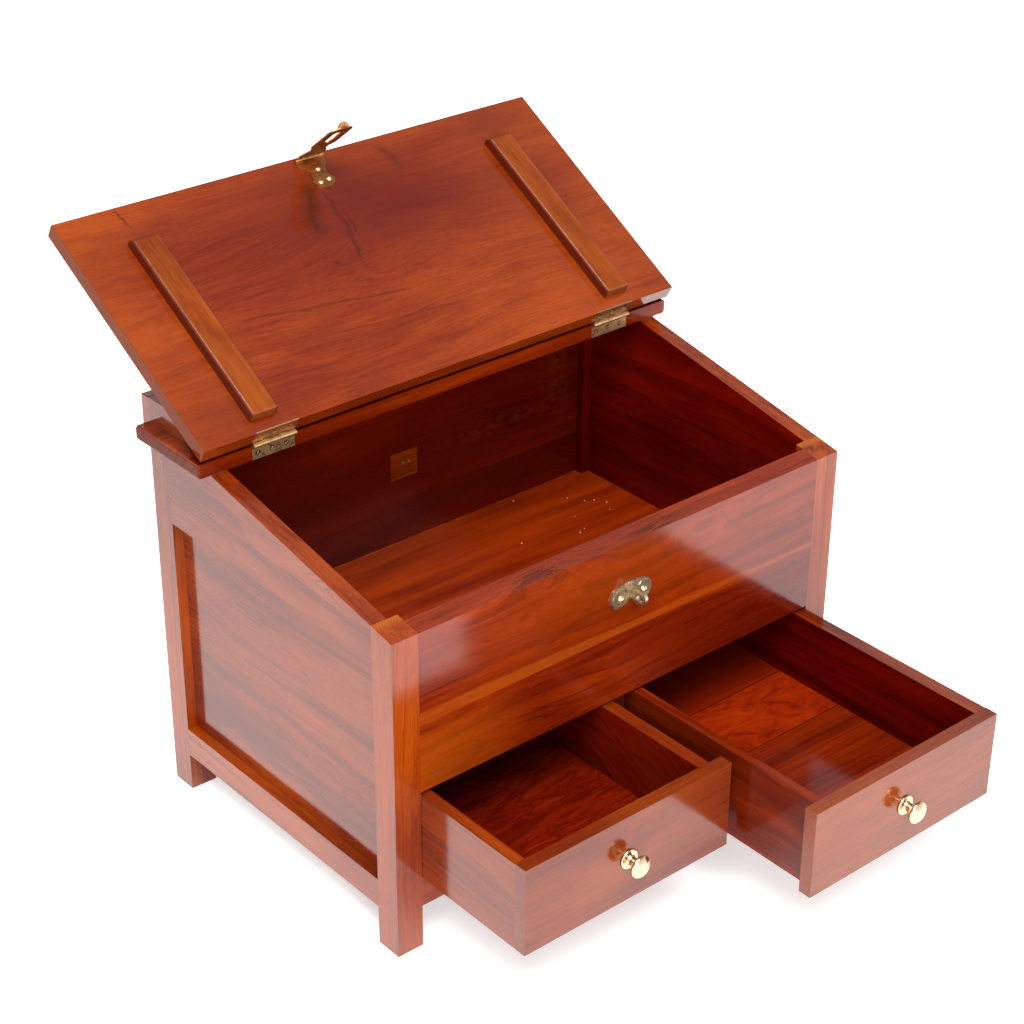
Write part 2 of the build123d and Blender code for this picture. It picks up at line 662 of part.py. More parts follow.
# ---------------------------------------------------------------------------
# Staple: a two-lobed plate on the front with a round eye standing out of its
# middle, and its two screws.
# ---------------------------------------------------------------------------
eye_y, eye_z = -11.6, 265.4        # centre of the eye's hole
eye_hole_r = 4.0
eye_r = 7.6
eye_w = 3.4
staple_thick = 1.3
face = Plane(origin=(0, y(0), 0), x_dir=(1, 0, 0), z_dir=(0, -1, 0))
with BuildPart() as staple:
    with BuildSketch(face):
        with BuildLine():
            b1 = ThreePointArc((-13.6, 255.6), (-23.4, 264.0), (-18.4, 275.2))
            b2 = ThreePointArc(b1 @ 1, (1.4, 279.0), (20.4, 274.4))
            b3 = ThreePointArc(b2 @ 1, (25.0, 263.6), (15.8, 255.6))
            b4 = Polyline(b3 @ 1, (8.2, 257.2), (5.2, 261.0), (-0.4, 261.0),
                          (-4.4, 257.2), b1 @ 0)
        make_face()
    extrude(amount=staple_thick)
    # pressed border round each lobe, clear of the fold between them
    with BuildSketch(face):
        with Locations((-11.6, staple_z + 1.6), (15.9, staple_z + 1.6)):
            Circle(8.6)
            Circle(7.3, mode=Mode.SUBTRACT)
        with Locations((2.0, staple_z + 1.6)):
            Rectangle(12.4, 22, mode=Mode.SUBTRACT)
    extrude(amount=staple_thick + 0.55)
    # raised ridge that carries the eye
    with BuildSketch(Plane.YZ.offset(staple_x - eye_w / 2)):
        with BuildLine():
            Polyline((y(-0.4), 276.0), (y(-3.4), 275.2), (y(-9.6), eye_z + 7.4),
                     (y(-9.6), eye_z - 7.4), (y(-3.6), 259.4), (y(-0.4), 261.4),
                     (y(-0.4), 276.0))
        make_face()
        with Locations((y(eye_y), eye_z)):
            Circle(eye_r)
    extrude(amount=eye_w)
    with BuildSketch(Plane.YZ.offset(staple_x - 5)):
        with Locations((y(eye_y), eye_z)):
            Circle(eye_hole_r)
    extrude(amount=10, mode=Mode.SUBTRACT)
    with BuildSketch(face):
        with Locations(*[(sx_, staple_z) for sx_ in staple_screw_x]):
            Circle(1.45)
    extrude(amount=3.0, mode=Mode.SUBTRACT)
keep(staple, "staple")

with BuildPart() as staple_screws:
    for sx_ in staple_screw_x:
        sec = Plane(origin=(sx_, y(-staple_thick), staple_z), x_dir=(1, 0, 0),
                    z_dir=(0, 0, 1))
        with BuildSketch(sec):
            with BuildLine():
                d1 = Line((0, -2.1), (0, 8.5))
                d2 = Polyline(d1 @ 1, (1.3, 8.5), (1.3, 0), (3.8, 0))
                dm = dome_mid(3.8, 2.1)
                d3 = ThreePointArc(d2 @ 1, (dm[0], -dm[1]), d1 @ 0)
            make_face()
        revolve(axis=Axis(sec.origin, (0, 1, 0)), revolution_arc=360)
        with BuildSketch(Plane(origin=(sx_, y(-staple_thick - 1.2), staple_z),
                               x_dir=(1, 0, 0), z_dir=(0, -1, 0))):
            Rectangle(9, 0.8, rotation=40 + 3 * sx_)
        extrude(amount=1.2, mode=Mode.SUBTRACT)
keep(staple_screws, "staple_screws")

# ---------------------------------------------------------------------------
# Drawers, standing open as far as they do at rest. Each is a front, two
# sides, a back and a bottom, and a turned knob. Depths below are counted from
# the drawer's own front face.
# ---------------------------------------------------------------------------
side_x = {
    # front, left side, right side
    "left": ((-232.4, -0.6), (-232.4, -221.4), (-27.0, -14.4)),
    "right": ((0.6, 232.4), (11.6, 21.0), (218.4, 232.4)),
}
knob_x = {"left": -118.7, "right": 115.0}
drawer_open = {"left": open_left, "right": open_right}
side_top = 158.4
bottom_z0, bottom_z1 = 78.6, 87.0
drawer_back_thick = 11.0

for side in ("left", "right"):
    (fx0, fx1), (lx0, lx1), (rx0, rx1) = side_x[side]
    y0 = y(-drawer_open[side])

    with BuildPart() as drawer_front:
        with BuildSketch(Plane.XY.offset(drawer_z0)):
            with Locations(((fx0 + fx1) / 2, y0 + drawer_front_thick / 2)):
                Rectangle(fx1 - fx0, drawer_front_thick)
        extrude(amount=drawer_z1 - drawer_z0)
        with Locations(Plane(origin=(knob_x[side], y0, knob_z),
                             x_dir=(1, 0, 0), z_dir=(0, -1, 0))):
            Hole(radius=2.1, depth=9.5)
    keep(drawer_front, "drawer_" + side + "_front")

    for which, x0, x1 in (("side_left", lx0, lx1), ("side_right", rx0, rx1)):
        with BuildPart() as drawer_side:
            with BuildSketch(Plane.XY.offset(drawer_z0)):
                with Locations(((x0 + x1) / 2,
                                y0 + (drawer_front_thick + drawer_len) / 2)):
                    Rectangle(x1 - x0, drawer_len - drawer_front_thick)
            extrude(amount=side_top - drawer_z0)
        keep(drawer_side, "drawer_" + side + "_" + which)

    with BuildPart() as drawer_back:
        with BuildSketch(Plane.XY.offset(drawer_z0)):
            with Locations(((lx1 + rx0) / 2,
                            y0 + drawer_len - drawer_back_thick / 2)):
                Rectangle(rx0 - lx1, drawer_back_thick)
        extrude(amount=side_top - drawer_z0)
    keep(drawer_back, "drawer_" + side + "_back")

    with BuildPart() as drawer_bottom:
        with BuildSketch(Plane.XY.offset(bottom_z0)):
            with Locations(((lx1 + rx0) / 2,
                            y0 + (drawer_front_thick + drawer_len
                                  - drawer_back_thick) / 2)):
                Rectangle(rx0 - lx1, drawer_len - drawer_back_thick
                          - drawer_front_thick)
        extrude(amount=bottom_z1 - bottom_z0)
    keep(drawer_bottom, "drawer_" + side + "_bottom")

    dome = dome_mid(9.6, 3.4)
    with BuildPart() as knob:
        sec = Plane(origin=(knob_x[side], y0, knob_z), x_dir=(1, 0, 0),
                    z_dir=(0, 0, 1))
        with BuildSketch(sec):
            with BuildLine():
                n1 = Polyline((0, 9.0), (2.0, 9.0), (2.0, 0.0), (8.6, 0.0))
                n2 = ThreePointArc(n1 @ 1, (9.3, -1.0), (8.4, -1.9))
                n3 = Polyline(n2 @ 1, (5.2, -2.6), (4.2, -4.6), (4.0, -8.0),
                              (5.4, -10.6), (8.8, -12.2))
                n4 = ThreePointArc(n3 @ 1, (10.4, -14.2), (9.6, -16.4))
                n5 = ThreePointArc(n4 @ 1, (dome[0], -16.4 - dome[1]),
                                   (0, -19.8))
                n6 = Line(n5 @ 1, n1 @ 0)
            make_face()
        revolve(axis=Axis(sec.origin, (0, 1, 0)), revolution_arc=360)
    keep(knob, "drawer_" + side + "_knob")
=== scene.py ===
import math
import random

import bpy
from mathutils import Matrix, Vector


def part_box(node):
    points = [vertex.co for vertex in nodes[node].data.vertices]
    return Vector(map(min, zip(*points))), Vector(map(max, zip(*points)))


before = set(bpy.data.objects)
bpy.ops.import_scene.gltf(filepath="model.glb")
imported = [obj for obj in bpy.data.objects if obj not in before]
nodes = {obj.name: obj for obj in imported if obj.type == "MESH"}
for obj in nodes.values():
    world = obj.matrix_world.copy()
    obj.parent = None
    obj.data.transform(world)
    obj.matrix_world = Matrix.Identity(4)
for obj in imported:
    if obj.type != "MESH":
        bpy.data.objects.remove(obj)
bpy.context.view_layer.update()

scene = bpy.context.scene
YF = -0.1123             # front face of the case, in the row frame

# ---------------------------------------------------------------------------
# Camera: three-quarter view from the left front, from above
# ---------------------------------------------------------------------------
right = Vector((0.7621672, -0.6473547, 0.0057449))
down = Vector((-0.3112921, -0.3742537, -0.8735167))
ahead = Vector((0.5676252, 0.6639775, -0.4867603))
cam_data = bpy.data.cameras.new("view")
cam_data.sensor_fit = "AUTO"
cam_data.sensor_width = 36.0
cam_data.lens = 79.95
cam_data.clip_start, cam_data.clip_end = 0.05, 50.0
cam = bpy.data.objects.new("view", cam_data)
scene.collection.objects.link(cam)
m = Matrix.Identity(4)
for row in range(3):
    m[row][0], m[row][1], m[row][2] = right[row], -down[row], -ahead[row]
m[0][3], m[1][3], m[2][3] = -1.17769, -1.21974 + YF, 1.28870
cam.matrix_world = m
scene.camera = cam

scene.view_settings.view_transform = "Standard"
scene.view_settings.look = "None"
scene.view_settings.exposure = 0.0
scene.view_settings.gamma = 1.0


# ---------------------------------------------------------------------------
# Node helpers
# ---------------------------------------------------------------------------
class Tree:
    """Thin helper round a material's node tree."""

    def __init__(self, name):
        self.mat = bpy.data.materials.new(name)
        self.mat.use_nodes = True
        self.nt = self.mat.node_tree
        self.nt.nodes.clear()
        self.out = self.nt.nodes.new("ShaderNodeOutputMaterial")
        self.bsdf = self.nt.nodes.new("ShaderNodeBsdfPrincipled")
        self.link(self.bsdf.outputs[0], self.out.inputs["Surface"])

    def link(self, a, b):
        self.nt.links.new(a, b)

    def put(self, socket, value):
        if isinstance(value, bpy.types.NodeSocket):
            self.link(value, socket)
        else:
            socket.default_value = value

    def math(self, op, a, b=0.0, c=0.0, clamp=False):
        n = self.nt.nodes.new("ShaderNodeMath")
        n.operation = op
        n.use_clamp = clamp
        self.put(n.inputs[0], a)
        self.put(n.inputs[1], b)
        self.put(n.inputs[2], c)
        return n.outputs[0]

    def vmath(self, op, a, b=None, scale=None):
        n = self.nt.nodes.new("ShaderNodeVectorMath")
        n.operation = op
        self.put(n.inputs[0], a)
        if b is not None:
            self.put(n.inputs[1], b)
        if scale is not None:
            self.put(n.inputs["Scale"], scale)
        return n.outputs["Value"] if op in ("LENGTH", "DOT_PRODUCT", "DISTANCE") else n.outputs["Vector"]

    def coords(self):
        return self.nt.nodes.new("ShaderNodeTexCoord").outputs["Object"]

    def split(self, v):
        n = self.nt.nodes.new("ShaderNodeSeparateXYZ")
        self.link(v, n.inputs[0])
        return n.outputs[0], n.outputs[1], n.outputs[2]

    def join(self, x, y, z):
        n = self.nt.nodes.new("ShaderNodeCombineXYZ")
        self.put(n.inputs[0], x)
        self.put(n.inputs[1], y)
        self.put(n.inputs[2], z)
        return n.outputs[0]

    def noise(self, v, scale=1.0, detail=3.0, rough=0.5, distortion=0.0):
        n = self.nt.nodes.new("ShaderNodeTexNoise")
        self.put(n.inputs["Vector"], v)
        n.inputs["Scale"].default_value = scale
        n.inputs["Detail"].default_value = detail
        n.inputs["Roughness"].default_value = rough
        n.inputs["Distortion"].default_value = distortion
        return n.outputs["Fac"]

    def ramp(self, fac, stops, ease="LINEAR"):
        n = self.nt.nodes.new("ShaderNodeValToRGB")
        n.color_ramp.interpolation = ease
        els = n.color_ramp.elements
        while len(els) > len(stops):
            els.remove(els[-1])
        while len(els) < len(stops):
            els.new(0.5)
        for e, (p, c) in zip(els, stops):
            e.position = p
            e.color = (c, c, c, 1) if isinstance(c, (int, float)) else (*c, 1)
        self.put(n.inputs[0], fac)
        return n.outputs[0]

    def mix(self, fac, a, b, how="MIX"):
        n = self.nt.nodes.new("ShaderNodeMix")
        n.data_type = "RGBA"
        n.blend_type = how
        n.clamp_factor = True
        self.put(n.inputs[0], fac)
        for s, v in ((n.inputs[6], a), (n.inputs[7], b)):
            self.put(s, v if isinstance(v, bpy.types.NodeSocket) else (*v, 1))
        return n.outputs[2]

    def band(self, v, lo, hi, soft):
        """1 between lo and hi, falling to 0 over soft on each side."""
        a = self.math("MULTIPLY_ADD", v, 1.0 / soft, -lo / soft + 0.5, clamp=True)
        b = self.math("MULTIPLY_ADD", v, -1.0 / soft, hi / soft + 0.5, clamp=True)
        return self.math("MULTIPLY", a, b)

    def bump(self, height, strength, distance):
        n = self.nt.nodes.new("ShaderNodeBump")
        n.inputs["Strength"].default_value = strength
        n.inputs["Distance"].default_value = distance
        self.link(height, n.inputs["Height"])
        return n.outputs[0]


def srgb(r, g, b):
    """sRGB 0-255 to linear."""
    f = lambda c: c / 12.92 if c <= 0.04045 else ((c + 0.055) / 1.055) ** 2.4
    return tuple(f(c / 255.0) for c in (r, g, b))


# ---------------------------------------------------------------------------
# Wood: growth rings round a wandering pith line, so faces show cathedral or
# straight figure and ends show rings, with stretched fibres, pores, darker
# streaks, mottling and slow changes of tone, under a clear glossy lacquer
# ---------------------------------------------------------------------------
DARK = (0.042, 0.0018, 0.0004)
MID = (0.140, 0.0150, 0.0009)
LIGHT = (0.220, 0.0360, 0.0020)
PALE = (0.310, 0.0820, 0.0100)


def spot(t, p, centre, radii, power=2.0):
    """1 at the centre, falling smoothly with the distance measured in radii."""
    d = t.vmath("MULTIPLY", t.vmath("SUBTRACT", p, centre), tuple(1.0 / r for r in radii))
    q = t.vmath("DOT_PRODUCT", d, d)
    return t.math("POWER", t.math("DIVIDE", 1.0, t.math("ADD", q, 1.0)), power)


def wood(name, grain, pith=(0.0, 0.0), seed=0.0, ring=0.010, wander=0.006,
         dark=DARK, mid=MID, light=LIGHT, streak=0.6, tone=0.5, fig=1.0,
         mottle=0.40, grainy=1.0, gloss=0.14, eyes=(), shade_boxes=(), ends=None, extra=None, coat=1.0):
    t = Tree(name)
    p = t.coords()
    g = Vector(grain).normalized()
    # the two directions across the grain
    a = Vector((0, 0, 1)) if abs(g.z) < 0.8 else Vector((1, 0, 0))
    u = g.cross(a).normalized()
    v = g.cross(u).normalized()
    along = t.vmath("DOT_PRODUCT", p, tuple(g))
    cu = t.vmath("DOT_PRODUCT", p, tuple(u))
    cv = t.vmath("DOT_PRODUCT", p, tuple(v))
    s = seed * 1.37
    # slow wandering of the fibres across the board
    slow = t.join(t.math("MULTIPLY_ADD", along, 3.4, s), t.math("MULTIPLY", cu, 9.0), t.math("MULTIPLY", cv, 9.0))
    w1 = t.math("SUBTRACT", t.noise(slow, 1.0, 2.0, 0.5), 0.5)
    slow2 = t.join(t.math("MULTIPLY_ADD", along, 3.4, s + 7.3), t.math("MULTIPLY", cu, 9.0), t.math("MULTIPLY_ADD", cv, 9.0, 3.1))
    w2 = t.math("SUBTRACT", t.noise(slow2, 1.0, 2.0, 0.5), 0.5)
    fine = t.join(t.math("MULTIPLY_ADD", along, 16.0, s), t.math("MULTIPLY", cu, 70.0), t.math("MULTIPLY", cv, 70.0))
    w3 = t.math("SUBTRACT", t.noise(fine, 1.0, 2.0, 0.5), 0.5)
    cu2 = t.math("ADD", t.math("MULTIPLY_ADD", w1, wander * 5.0, cu), t.math("MULTIPLY", w3, 0.0016))
    cv2 = t.math("ADD", t.math("MULTIPLY_ADD", w2, wander * 5.0, cv), t.math("MULTIPLY", w3, 0.0014))
    # the grain bows round each knot
    for centre, radii, push, ink in eyes:
        f = t.math("MULTIPLY", spot(t, p, centre, radii, 1.6), push)
        cu2 = t.math("ADD", cu2, f)
        cv2 = t.math("ADD", cv2, f)
    du = t.math("SUBTRACT", cu2, pith[0])
    dv = t.math("SUBTRACT", cv2, pith[1])
    r = t.math("SQRT", t.math("ADD", t.math("MULTIPLY", du, du), t.math("MULTIPLY", dv, dv)))
    phase = t.math("MULTIPLY", r, 1.0 / ring)
    # uneven ring spacing
    uneven = t.noise(t.join(t.math("MULTIPLY", phase, 0.45), s, 0.0), 1.0, 1.0, 0.5)
    phase = t.math("MULTIPLY_ADD", uneven, 3.0, phase)
    saw = t.math("FRACT", phase)
    rings = t.ramp(saw, [(0.0, 0.10), (0.50, 0.30), (0.80, 0.75), (0.93, 1.0), (0.985, 0.9), (1.0, 0.10)], "LINEAR")
    # some rings are much stronger than others
    pick = t.ramp(t.noise(t.join(t.math("MULTIPLY", phase, 0.9), s + 3.0, t.math("MULTIPLY", along, 0.8)), 1.0, 1.0, 0.5),
                  [(0.0, 0.25), (0.42, 0.35), (0.60, 1.0), (1.0, 1.0)], "EASE")
    # fibres and pores
    fib = t.noise(t.join(t.math("MULTIPLY_ADD", along, 10.0, s), t.math("MULTIPLY", cu2, 640.0), t.math("MULTIPLY", cv2, 640.0)), 1.0, 3.0, 0.65)
    pore = t.noise(t.join(t.math("MULTIPLY_ADD", along, 70.0, s + 2.0), t.math("MULTIPLY", cu2, 1600.0), t.math("MULTIPLY", cv2, 1600.0)), 1.0, 1.0, 0.5)
    pores = t.ramp(pore, [(0.0, 1.0), (0.31, 0.9), (0.40, 0.0), (1.0, 0.0)])
    # broad streaks that follow the fibres, and thin ink-dark lines
    st = t.noise(t.join(t.math("MULTIPLY_ADD", along, 1.8, s + 4.0), t.math("MULTIPLY", cu2, 64.0), t.math("MULTIPLY", cv2, 64.0)), 1.0, 3.0, 0.6)
    streaks = t.ramp(st, [(0.0, 0.0), (0.48, 0.0), (0.62, 0.7), (0.78, 1.0), (1.0, 1.0)], "EASE")
    li = t.noise(t.join(t.math("MULTIPLY_ADD", along, 1.5, s + 14.0), t.math("MULTIPLY", cu2, 120.0), t.math("MULTIPLY", cv2, 120.0)), 1.0, 2.0, 0.55)
    lines = t.ramp(li, [(0.0, 0.0), (0.60, 0.0), (0.66, 1.0), (0.70, 1.0), (0.76, 0.2), (1.0, 0.2)], "EASE")
    # slow change of tone, and mottling
    cloud = t.noise(t.join(t.math("MULTIPLY_ADD", along, 4.2, s + 9.0), t.math("MULTIPLY", cu, 12.0), t.math("MULTIPLY", cv, 12.0)), 1.0, 2.0, 0.55)
    mot = t.noise(t.join(t.math("MULTIPLY_ADD", along, 18.0, s + 5.0), t.math("MULTIPLY", cu2, 55.0), t.math("MULTIPLY", cv2, 55.0)), 1.0, 3.0, 0.6)
    tonef = t.math("MULTIPLY_ADD", t.math("SUBTRACT", cloud, 0.5), 3.2, tone)
    tonef = t.math("ADD", tonef, t.math("MULTIPLY", t.math("SUBTRACT", mot, 0.5), mottle * 2.0), clamp=True)
    base = t.mix(tonef, mid, light)
    deep = t.mix(tonef, dark, mid)
    f1 = t.math("MULTIPLY", t.math("MULTIPLY", rings, pick), 0.62 * fig, clamp=True)
    col = t.mix(f1, base, deep)
    f2 = t.math("MULTIPLY_ADD", t.math("SUBTRACT", fib, 0.5), 2.1 * grainy, 0.22, clamp=True)
    col = t.mix(f2, col, deep)
    col = t.mix(t.math("MULTIPLY", streaks, streak), col, dark)
    col = t.mix(t.math("MULTIPLY", lines, streak * 0.75), col, dark)
    col = t.mix(t.math("MULTIPLY", pores, 0.40), col, tuple(0.5 * c for c in dark))
    for centre, radii, push, ink in eyes:
        if ink > 0.0:
            f = spot(t, p, centre, tuple(0.42 * q for q in radii), 2.6)
            f = t.math("MULTIPLY", f, t.math("MULTIPLY_ADD", fib, 0.9, 0.55))
            col = t.mix(t.math("MULTIPLY", f, ink, clamp=True), col, tuple(0.6 * c for c in dark))
    shine = None
    # painted shade: inside each listed box the colour is multiplied by its shade tint, and the lacquer is scaled by
    # keep
    for lo, hi, shade_tint, keep in shade_boxes:
        m = None
        for q, a0, b0 in zip(t.split(p), lo, hi):
            f = t.band(q, a0, b0, 0.0003)
            m = f if m is None else t.math("MULTIPLY", m, f)
        col = t.mix(m, col, shade_tint, "MULTIPLY")
        k = t.math("MULTIPLY_ADD", m, keep - 1.0, 1.0)
        shine = k if shine is None else t.math("MULTIPLY", shine, k)
    if ends:
        m = t.math("SUBTRACT", 1.0, t.band(along, ends[0] + 0.0005, ends[1] - 0.0005, 0.0004), clamp=True)
        rg = t.math("MULTIPLY_ADD", rings, 0.5, 0.5)
        col = t.mix(m, col, t.mix(rg, (0.112, 0.0180, 0.0016), (0.058, 0.0075, 0.0008)))
        k = t.math("MULTIPLY_ADD", m, -0.70, 1.0)
        shine = k if shine is None else t.math("MULTIPLY", shine, k)
    if extra:
        col = extra(t, p, along, cu2, cv2, col, dict(rings=rings, fib=fib, mot=mot, w1=w1, w3=w3, deep=deep, base=base))
    t.put(t.bsdf.inputs["Base Color"], col)
    rough = t.math("MULTIPLY_ADD", fib, 0.16, 0.42)
    t.put(t.bsdf.inputs["Roughness"], rough)
    t.bsdf.inputs["Specular IOR Level"].default_value = 0.0
    if shine is None:
        t.bsdf.inputs["Coat Weight"].default_value = coat
    else:
        t.put(t.bsdf.inputs["Coat Weight"], t.math("MULTIPLY", shine, coat))
    t.bsdf.inputs["Coat Roughness"].default_value = gloss
    t.bsdf.inputs["Coat IOR"].default_value = 1.51
    # grain telegraphs faintly through the lacquer
    h = t.math("SUBTRACT", t.math("MULTIPLY", fib, 0.6), t.math("MULTIPLY", pores, 0.5))
    t.put(t.bsdf.inputs["Normal"], t.bump(h, 0.35, 0.0002))
    lump = t.noise(t.join(t.math("MULTIPLY", along, 16.0), t.math("MULTIPLY", cu, 60.0), t.math("MULTIPLY", cv, 60.0)), 1.0, 2.0, 0.5)
    hc = t.math("ADD", t.math("MULTIPLY", fib, 0.12), lump)
    t.put(t.bsdf.inputs["Coat Normal"], t.bump(hc, 0.25, 0.0004))
    return t.mat


def brass(name, color, dull, rough, seed=0.0, tarnish=0.5, edge=0.42):
    t = Tree(name)
    p = t.coords()
    q = t.vmath("ADD", p, (seed, seed * 0.7, 0.0))
    n1 = t.noise(q, 160.0, 4.0, 0.6)
    n2 = t.noise(q, 900.0, 2.0, 0.5)
    f = t.ramp(t.math("MULTIPLY_ADD", n2, 0.25, t.math("MULTIPLY", n1, 0.8)), [(0.0, 0.0), (edge, 0.05), (edge + 0.2, 1.0), (1.0, 1.0)])
    col = t.mix(t.math("MULTIPLY", f, tarnish), color, dull)
    t.put(t.bsdf.inputs["Base Color"], col)
    t.bsdf.inputs["Metallic"].default_value = 1.0
    t.put(t.bsdf.inputs["Roughness"], t.math("MULTIPLY_ADD", f, 0.18 * tarnish + 0.04, rough))
    t.put(t.bsdf.inputs["Normal"], t.bump(n1, 0.12, 0.0003))
    return t.mat


UL = (0.0, math.cos(math.radians(30.45)), math.sin(math.radians(30.45)))   # along the open lid
X, Y, Z = (1, 0, 0), (0, 1, 0), (0, 0, 1)


def lid_point(x, a, n=0.0147):
    """A point of the lid: a up its slope from the corner, n out of its face."""
    return (x, YF + 0.24757 + a * UL[1] - n * UL[2], 0.38516 + a * UL[2] + n * UL[1])


batten_x = {}
for n in ("lid_batten_left", "lid_batten_right"):
    lo_, hi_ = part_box(n)
    batten_x[n] = (lo_[0], hi_[0])


# ---------------------------------------------------------------------------
# Boards with features of their own
# ---------------------------------------------------------------------------
def upper_front(t, p, along, cu, cv, col, k):
    x, y, z = t.split(p)
    # a paler band along the lower edge, its top rising towards the left
    top = t.math("MULTIPLY_ADD", x, -0.0225, 0.2362)
    top = t.math("MULTIPLY_ADD", k["w1"], 0.006, top)
    d = t.math("SUBTRACT", top, z)
    band = t.ramp(t.math("MULTIPLY_ADD", d, 160.0, 0.5, clamp=True), [(0.0, 0.0), (0.45, 0.25), (0.6, 1.0), (1.0, 1.0)], "EASE")
    pale_tone = t.mix(t.math("MULTIPLY", t.math("ADD", k["fib"], k["mot"]), 0.75, clamp=True), PALE, LIGHT)
    col = t.mix(t.math("MULTIPLY", band, 0.36), col, pale_tone)
    # ink-dark line above it on the left
    zl = t.math("ADD", z, t.math("MULTIPLY", k["w3"], 0.003))
    line = t.band(zl, 0.2569, 0.2579, 0.0008)
    line = t.math("MULTIPLY", line, t.band(x, -0.232, -0.165, 0.03))
    col = t.mix(t.math("MULTIPLY", line, 0.75), col, tuple(0.6 * c for c in DARK))
    # golden glow round the middle
    glow = spot(t, p, (-0.02, YF, 0.285), (0.16, 0.1, 0.05), 2.0)
    col = t.mix(t.math("MULTIPLY", glow, 0.25), col, (0.230, 0.0420, 0.0020))
    # dark checks in the top edge beside the knot
    c1 = spot(t, p, (-0.098, YF + 0.006, 0.3195), (0.050, 0.016, 0.009), 3.0)
    c1 = t.math("MULTIPLY", c1, t.ramp(k["fib"], [(0.0, 0.0), (0.46, 0.0), (0.54, 1.0), (1.0, 1.0)]))
    c2 = spot(t, p, (0.030, YF + 0.006, 0.3195), (0.040, 0.016, 0.009), 3.0)
    c2 = t.math("MULTIPLY", c2, t.ramp(k["fib"], [(0.0, 0.0), (0.47, 0.0), (0.55, 1.0), (1.0, 1.0)]))
    onto = t.math("MULTIPLY_ADD", y, 1500.0, -(YF + 0.0008) * 1500.0, clamp=True)
    cc = t.math("MULTIPLY", t.math("MULTIPLY", t.math("ADD", c1, c2), 1.3, clamp=True), t.math("MULTIPLY_ADD", onto, 0.85, 0.15))
    col = t.mix(t.math("MULTIPLY", cc, 0.75), col, (0.022, 0.0020, 0.0008))
    return col


def lower_front(t, p, along, cu, cv, col, k):
    x, y, z = t.split(p)
    glow = t.math("MULTIPLY", t.band(x, -0.30, -0.16, 0.10), t.band(z, 0.15, 0.215, 0.03))
    col = t.mix(t.math("MULTIPLY", glow, 0.40), col, (0.235, 0.0480, 0.0024))
    dim = t.math("MULTIPLY", t.band(x, 0.02, 0.30, 0.12), t.band(z, 0.15, 0.222, 0.012))
    return t.mix(t.math("MULTIPLY", dim, 0.68), col, (0.052, 0.0012, 0.0004))


def lid_face(t, p, along, cu, cv, col, k):
    x, y, z = t.split(p)
    # deeper red in the upper middle, more golden at both ends
    deep1 = spot(t, p, lid_point(0.00, 0.205), (0.15, 0.08, 0.08), 1.7)
    deep2 = spot(t, p, lid_point(0.12, 0.165), (0.16, 0.06, 0.06), 2.0)
    wob = t.math("MULTIPLY_ADD", k["mot"], 0.8, 0.35)
    f = t.math("MULTIPLY", t.math("ADD", deep1, t.math("MULTIPLY", deep2, 0.6)), wob)
    col = t.mix(t.math("MULTIPLY", f, 0.92, clamp=True), col, (0.058, 0.0026, 0.0009))
    gold = t.math("MULTIPLY_ADD", x, -9.0, -1.55, clamp=True)
    gold = t.math("MULTIPLY", gold, t.math("MULTIPLY_ADD", k["mot"], 0.9, 0.2))
    col = t.mix(t.math("MULTIPLY", gold, 0.50, clamp=True), col, (0.215, 0.0380, 0.0018))
    # painted shade: two darker patches just right of the right batten; a weaker darker patch at the lower left
    batten_shade_and_patch = t.math("ADD", spot(t, p, lid_point(0.225, 0.150), (0.035, 0.07, 0.06), 2.0), spot(t, p, lid_point(0.215, 0.250), (0.05, 0.02, 0.02), 2.0))
    batten_shade_and_patch = t.math("ADD", batten_shade_and_patch, t.math("MULTIPLY", spot(t, p, lid_point(-0.245, 0.030), (0.05, 0.05, 0.04), 2.0), 0.6))
    batten_shade_and_patch = t.math("MULTIPLY", batten_shade_and_patch, t.math("MULTIPLY_ADD", k["mot"], 1.4, 0.1))
    col = t.mix(t.math("MULTIPLY", batten_shade_and_patch, 0.70, clamp=True), col, (0.060, 0.0060, 0.0014))
    gold2 = t.math("MULTIPLY", t.math("MULTIPLY_ADD", x, 7.0, -0.95, clamp=True), k["mot"])
    col = t.mix(t.math("MULTIPLY", gold2, 0.35, clamp=True), col, (0.205, 0.0400, 0.0030))
    # a slanting dark flaw with a resin line below the middle
    for (xa, aa), (xb, ab), wide, ink in (((-0.012, 0.236), (-0.041, 0.174), 0.0120, 0.70),
                                          ((-0.004, 0.224), (-0.005, 0.176), 0.0036, 0.50),
                                          ((-0.003, 0.186), (-0.016, 0.132), 0.0034, 0.52),
                                          ((0.004, 0.200), (-0.001, 0.160), 0.0016, 0.55),
                                          ((-0.209, 0.266), (-0.204, 0.236), 0.0024, 0.60),
                                          ((0.082, 0.258), (0.092, 0.220), 0.0075, 0.42),
                                          ((-0.165, 0.111), (0.012, 0.090), 0.0016, 0.50),
                                          ((-0.090, 0.070), (0.060, 0.058), 0.0014, 0.35)):
        A, B = Vector(lid_point(xa, aa)), Vector(lid_point(xb, ab))
        L = (B - A).length
        dr = (B - A) / L
        rel = t.vmath("SUBTRACT", p, tuple(A))
        s_ = t.vmath("DOT_PRODUCT", rel, tuple(dr))
        nr = Vector((0, -UL[2], UL[1])).cross(dr).normalized()
        d_ = t.math("ABSOLUTE", t.math("ADD", t.vmath("DOT_PRODUCT", rel, tuple(nr)), t.math("MULTIPLY", k["w3"], 0.008)))
        m_ = t.math("MULTIPLY_ADD", d_, -1.0 / wide, 1.0, clamp=True)
        m_ = t.math("MULTIPLY", m_, t.band(s_, 0.004, L - 0.004, 0.012))
        col = t.mix(t.math("MULTIPLY", m_, ink), col, (0.020, 0.0020, 0.0010))
    return col


